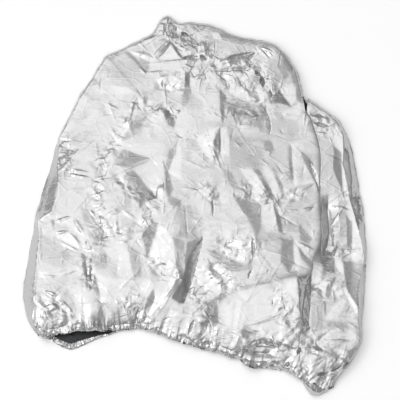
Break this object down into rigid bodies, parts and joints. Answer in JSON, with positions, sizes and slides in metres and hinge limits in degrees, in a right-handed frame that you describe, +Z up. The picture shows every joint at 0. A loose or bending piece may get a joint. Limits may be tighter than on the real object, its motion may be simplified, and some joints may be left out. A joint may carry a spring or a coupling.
{
  "type": "golf cart cover",
  "caption": "Empty golf cart cover of crinkled silver-coated polyester, laid on its side with its gathered hem towards the front.",
  "frame": {"origin": "on the floor, under the middle of the cover's outline", "axes": "+X to the right across the cover, +Y from its gathered hem to its roof, +Z up from the floor"},
  "size_m": [1.7046, 1.9488, 0.1928],
  "materials": {
    "silver_cloth": "satin silver coating on thin polyester taffeta, crinkled"
  },
  "bodies": {
    "root": {"front_side_panel": "silver_cloth", "left_end_panel": "silver_cloth", "roof_panel": "silver_cloth", "right_end_panel": "silver_cloth", "back_side_panel": "silver_cloth"}
  },
  "joints": []
}
